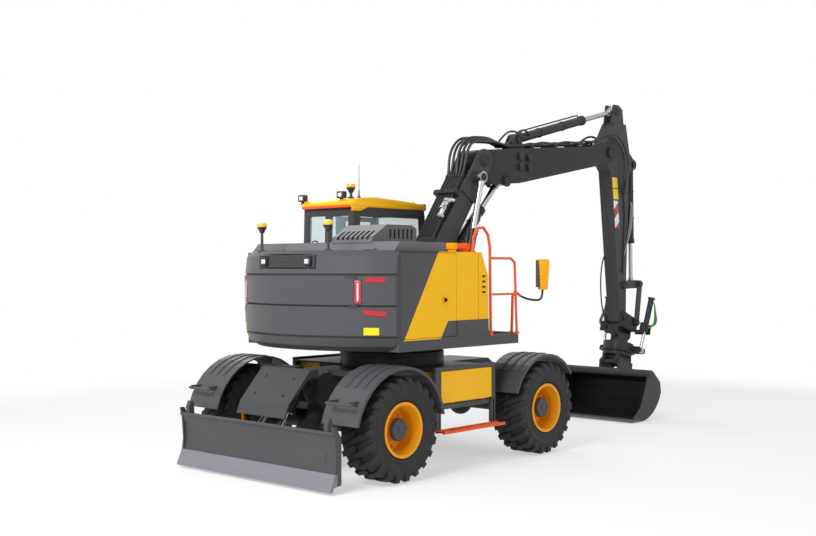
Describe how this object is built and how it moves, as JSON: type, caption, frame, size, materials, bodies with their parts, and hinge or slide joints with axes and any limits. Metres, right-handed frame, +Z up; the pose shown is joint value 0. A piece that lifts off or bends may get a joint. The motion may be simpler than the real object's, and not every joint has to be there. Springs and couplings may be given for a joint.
{
  "type": "wheeled excavator with two-piece boom, tiltrotator and dozer blade",
  "caption": "Wheeled excavator with slewing upper body, two-piece boom, tilting rotating tool head with grading bucket, and a rear dozer blade.",
  "frame": {"origin": "middle of the overall box, on the ground under the wheels", "axes": "+X towards the boom end, +Y to the left, +Z up"},
  "size_m": [7.9819, 2.85, 4.8619],
  "materials": {
    "grey_paint": "satin",
    "cab_grey": "satin",
    "hood_grey": "satin",
    "dark_iron": "satin",
    "black_paint": "satin",
    "engine_block": "cast",
    "chrome_rod": "polished",
    "yellow_paint": "gloss",
    "roof_yellow": "gloss",
    "rim_yellow": "gloss",
    "mirror_yellow": "satin",
    "orange_paint": "gloss",
    "tyre_rubber": "matte",
    "window_glass": "clear",
    "seat_cloth": "woven",
    "lamp_black": "satin"
  },
  "bodies": {
    "chassis": {"chassis_frame": "grey_paint", "slew_ring": "dark_iron", "axles": "dark_iron", "fenders": "grey_paint", "steps": "orange_paint", "toolboxes": "yellow_paint"},
    "toolbox_lid_left": {"toolbox_lid_left": "yellow_paint"},
    "toolbox_lid_right": {"toolbox_lid_right": "yellow_paint"},
    "knuckle_left": {"knuckle_left": "dark_iron"},
    "knuckle_right": {"knuckle_right": "dark_iron"},
    "blade": {"blade": "grey_paint"},
    "blade_barrel": {"blade_barrels": "black_paint"},
    "blade_rod": {"blade_rods": "chrome_rod"},
    "house": {"house_frame": "grey_paint", "counterweight": "grey_paint", "engine_block": "engine_block", "right_body": "yellow_paint", "left_body": "grey_paint", "cab_shell": "cab_grey", "cab_roof": "roof_yellow", "cab_glass": "window_glass", "seat": "seat_cloth", "handrails": "orange_paint", "mirrors": "mirror_yellow", "lamps": "lamp_black"},
    "engine_hood": {"engine_hood": "hood_grey"},
    "right_door": {"right_door": "yellow_paint"},
    "left_door": {"left_door": "grey_paint"},
    "cab_door": {"cab_door": "cab_grey", "door_glass": "window_glass"},
    "base_boom": {"base_boom": "grey_paint", "boom_pipes": "black_paint"},
    "front_boom": {"front_boom": "grey_paint"},
    "arm": {"arm": "grey_paint"},
    "lever": {"lever": "grey_paint"},
    "link": {"link": "grey_paint"},
    "lift_barrel": {"lift_barrels": "black_paint"},
    "lift_rod": {"lift_rods": "chrome_rod"},
    "adjust_barrel": {"adjust_barrel": "black_paint"},
    "adjust_rod": {"adjust_rod": "chrome_rod"},
    "arm_barrel": {"arm_barrel": "black_paint"},
    "arm_rod": {"arm_rod": "chrome_rod"},
    "bucket_barrel": {"bucket_barrel": "black_paint"},
    "bucket_rod": {"bucket_rod": "chrome_rod"},
    "hitch": {"tilt_hitch": "dark_iron"},
    "tilt_head": {"tilt_frame": "grey_paint"},
    "tool": {"tool_hitch": "dark_iron", "bucket": "grey_paint"},
    "tilt_barrel_left": {"tilt_barrel_left": "black_paint"},
    "tilt_barrel_right": {"tilt_barrel_right": "black_paint"},
    "tilt_rod_left": {"tilt_rod_left": "chrome_rod"},
    "tilt_rod_right": {"tilt_rod_right": "chrome_rod"},
    "wheel_front_left": {"rim_front_left": "rim_yellow", "tyre_front_left": "tyre_rubber"},
    "wheel_front_right": {"rim_front_right": "rim_yellow", "tyre_front_right": "tyre_rubber"},
    "wheel_rear_left": {"rim_rear_left": "rim_yellow", "tyre_rear_left": "tyre_rubber"},
    "wheel_rear_right": {"rim_rear_right": "rim_yellow", "tyre_rear_right": "tyre_rubber"}
  },
  "joints": [
    {"name": "slew", "type": "hinge", "parent": "chassis", "child": "house", "pos_m": [-1.72, 0, 1.39], "axis": [0, 0, 1], "continuous": true},
    {"name": "boom_lift", "type": "hinge", "parent": "house", "child": "base_boom", "pos_m": [-1.44, 0, 1.85], "axis": [0, -1, 0], "range_deg": [-50, 10]},
    {"name": "boom_adjust", "type": "hinge", "parent": "base_boom", "child": "front_boom", "pos_m": [-0.1, 0, 3.74], "axis": [0, 1, 0], "range_deg": [-30, 46]},
    {"name": "arm_swing", "type": "hinge", "parent": "front_boom", "child": "arm", "pos_m": [3.06, 0, 4.08], "axis": [0, -1, 0], "range_deg": [-50, 45]},
    {"name": "bucket_curl", "type": "hinge", "parent": "arm", "child": "hitch", "pos_m": [3.48, 0, 1.53], "axis": [0, 1, 0], "range_deg": [-60, 80]},
    {"name": "tool_tilt", "type": "hinge", "parent": "hitch", "child": "tilt_head", "pos_m": [3.57773, 0, 1.26359], "axis": [0.9627, 0, -0.2707], "range_deg": [-40, 40]},
    {"name": "tool_rotate", "type": "hinge", "parent": "tilt_head", "child": "tool", "pos_m": [3.48838, 0, 0.94591], "axis": [0.2707, 0, 0.9627], "continuous": true},
    {"name": "lift_barrel_turn", "type": "hinge", "parent": "house", "child": "lift_barrel", "pos_m": [-0.77, 0, 1.62], "axis": [0, -1, 0], "range_deg": [-57.55, 12.59]},
    {"name": "lift_rod_slide", "type": "slide", "parent": "lift_barrel", "child": "lift_rod", "axis": [0.257, 0, 0.9664], "range_m": [-0.5724, 0.1253]},
    {"name": "adjust_barrel_turn", "type": "hinge", "parent": "base_boom", "child": "adjust_barrel", "pos_m": [-0.6, 0, 2.46], "axis": [0, -1, 0], "range_deg": [-4.09, 2.71]},
    {"name": "adjust_rod_slide", "type": "slide", "parent": "adjust_barrel", "child": "adjust_rod", "axis": [0.7002, 0, 0.7139], "range_m": [-0.4465, 0.2962]},
    {"name": "arm_barrel_turn", "type": "hinge", "parent": "front_boom", "child": "arm_barrel", "pos_m": [0.8, 0, 4.1], "axis": [0, -1, 0], "range_deg": [-8.72, 7.88]},
    {"name": "arm_rod_slide", "type": "slide", "parent": "arm_barrel", "child": "arm_rod", "axis": [0.9688, 0, 0.2479], "range_m": [-0.4434, 0.4907]},
    {"name": "bucket_barrel_turn", "type": "hinge", "parent": "arm", "child": "bucket_barrel", "pos_m": [3.86, 0, 3.95], "axis": [0, -1, 0], "range_deg": [-1.45, 1.1]},
    {"name": "bucket_rod_slide", "type": "slide", "parent": "bucket_barrel", "child": "bucket_rod", "axis": [0.021, 0, -0.9998], "range_m": [-0.3005, 0.3961]},
    {"name": "lever_turn", "type": "hinge", "parent": "arm", "child": "lever", "pos_m": [3.48, 0, 2.04], "axis": [0, -1, 0], "range_deg": [-61.71, 46.8]},
    {"name": "link_turn", "type": "hinge", "parent": "lever", "child": "link", "pos_m": [3.9, 0, 2.05], "axis": [0, -1, 0], "range_deg": [-35.26, 46.48]},
    {"name": "blade_lift", "type": "hinge", "parent": "chassis", "child": "blade", "pos_m": [-3.32, 0, 0.64], "axis": [0, 1, 0], "range_deg": [-9, 28]},
    {"name": "blade_barrel_turn", "type": "hinge", "parent": "chassis", "child": "blade_barrel", "pos_m": [-3.36, 0, 1.01], "axis": [0, -1, 0], "range_deg": [-16.31, 5.53]},
    {"name": "blade_rod_slide", "type": "slide", "parent": "blade_barrel", "child": "blade_rod", "axis": [-0.6026, 0, -0.798], "range_m": [-0.1395, 0.0474]},
    {"name": "tilt_barrel_left_turn", "type": "hinge", "parent": "hitch", "child": "tilt_barrel_left", "pos_m": [3.74697, 0.36, 1.39259], "axis": [0.9627, 0, -0.2707], "range_deg": [-14.56, 14.56]},
    {"name": "tilt_rod_left_slide", "type": "slide", "parent": "tilt_barrel_left", "child": "tilt_rod_left", "axis": [-0.27, -0.0765, -0.9598], "range_m": [-0.2481, 0.2481]},
    {"name": "tilt_barrel_right_turn", "type": "hinge", "parent": "hitch", "child": "tilt_barrel_right", "pos_m": [3.74697, -0.36, 1.39259], "axis": [0.9627, 0, -0.2707], "range_deg": [-14.56, 14.56]},
    {"name": "tilt_rod_right_slide", "type": "slide", "parent": "tilt_barrel_right", "child": "tilt_rod_right", "axis": [-0.27, 0.0765, -0.9598], "range_m": [-0.2481, 0.2481]},
    {"name": "steer_left", "type": "hinge", "parent": "chassis", "child": "knuckle_left", "pos_m": [-0.392, 0.88, 0.574], "axis": [0, 0, 1], "range_deg": [-30, 30]},
    {"name": "wheel_front_left", "type": "hinge", "parent": "knuckle_left", "child": "wheel_front_left", "pos_m": [-0.392, 1.165, 0.574], "axis": [0, 1, 0], "continuous": true},
    {"name": "wheel_rear_left", "type": "hinge", "parent": "chassis", "child": "wheel_rear_left", "pos_m": [-3.02, 1.165, 0.574], "axis": [0, 1, 0], "continuous": true},
    {"name": "steer_right", "type": "hinge", "parent": "chassis", "child": "knuckle_right", "pos_m": [-0.392, -0.88, 0.574], "axis": [0, 0, 1], "range_deg": [-30, 30]},
    {"name": "wheel_front_right", "type": "hinge", "parent": "knuckle_right", "child": "wheel_front_right", "pos_m": [-0.392, -1.165, 0.574], "axis": [0, 1, 0], "continuous": true},
    {"name": "wheel_rear_right", "type": "hinge", "parent": "chassis", "child": "wheel_rear_right", "pos_m": [-3.02, -1.165, 0.574], "axis": [0, 1, 0], "continuous": true},
    {"name": "cab_door_swing", "type": "hinge", "parent": "house", "child": "cab_door", "pos_m": [-1.37, 1.254, 1.7], "axis": [0, 0, 1], "range_deg": [0, 150]},
    {"name": "right_door_swing", "type": "hinge", "parent": "house", "child": "right_door", "pos_m": [-2.926, -1.254, 1.62], "axis": [0, 0, -1], "range_deg": [0, 100]},
    {"name": "left_door_swing", "type": "hinge", "parent": "house", "child": "left_door", "pos_m": [-2.926, 1.254, 1.62], "axis": [0, 0, 1], "range_deg": [0, 100]},
    {"name": "hood_lift", "type": "hinge", "parent": "house", "child": "engine_hood", "pos_m": [-2.954, 0, 2.514], "axis": [0, -1, 0], "range_deg": [0, 75]},
    {"name": "toolbox_lid_left_drop", "type": "hinge", "parent": "chassis", "child": "toolbox_lid_left", "pos_m": [-1.72, 1.187, 0.774], "axis": [-1, 0, 0], "range_deg": [0, 100]},
    {"name": "toolbox_lid_right_drop", "type": "hinge", "parent": "chassis", "child": "toolbox_lid_right", "pos_m": [-1.72, -1.187, 0.774], "axis": [1, 0, 0], "range_deg": [0, 100]}
  ],
  "couplings": [
    {"joint": "lift_barrel_turn", "follows": "boom_lift", "ratio": 1.124},
    {"joint": "lift_rod_slide", "follows": "boom_lift", "m_per_rad": 0.64048},
    {"joint": "adjust_barrel_turn", "follows": "boom_adjust", "ratio": -0.0861},
    {"joint": "adjust_rod_slide", "follows": "boom_adjust", "m_per_rad": -0.53826},
    {"joint": "arm_barrel_turn", "follows": "arm_swing", "ratio": 0.168},
    {"joint": "arm_rod_slide", "follows": "arm_swing", "m_per_rad": -0.54161},
    {"joint": "bucket_barrel_turn", "follows": "bucket_curl", "ratio": -0.0175},
    {"joint": "bucket_rod_slide", "follows": "bucket_curl", "m_per_rad": 0.27403},
    {"joint": "lever_turn", "follows": "bucket_curl", "ratio": -0.7453},
    {"joint": "link_turn", "follows": "bucket_curl", "ratio": 0.5614},
    {"joint": "blade_barrel_turn", "follows": "blade_lift", "ratio": -0.56753},
    {"joint": "blade_rod_slide", "follows": "blade_lift", "m_per_rad": -0.27796},
    {"joint": "tilt_barrel_left_turn", "follows": "tool_tilt", "ratio": 0.35},
    {"joint": "tilt_rod_left_slide", "follows": "tool_tilt", "m_per_rad": -0.34154},
    {"joint": "tilt_barrel_right_turn", "follows": "tool_tilt", "ratio": 0.35},
    {"joint": "tilt_rod_right_slide", "follows": "tool_tilt", "m_per_rad": 0.34154},
    {"joint": "steer_right", "follows": "steer_left", "ratio": 1}
  ]
}
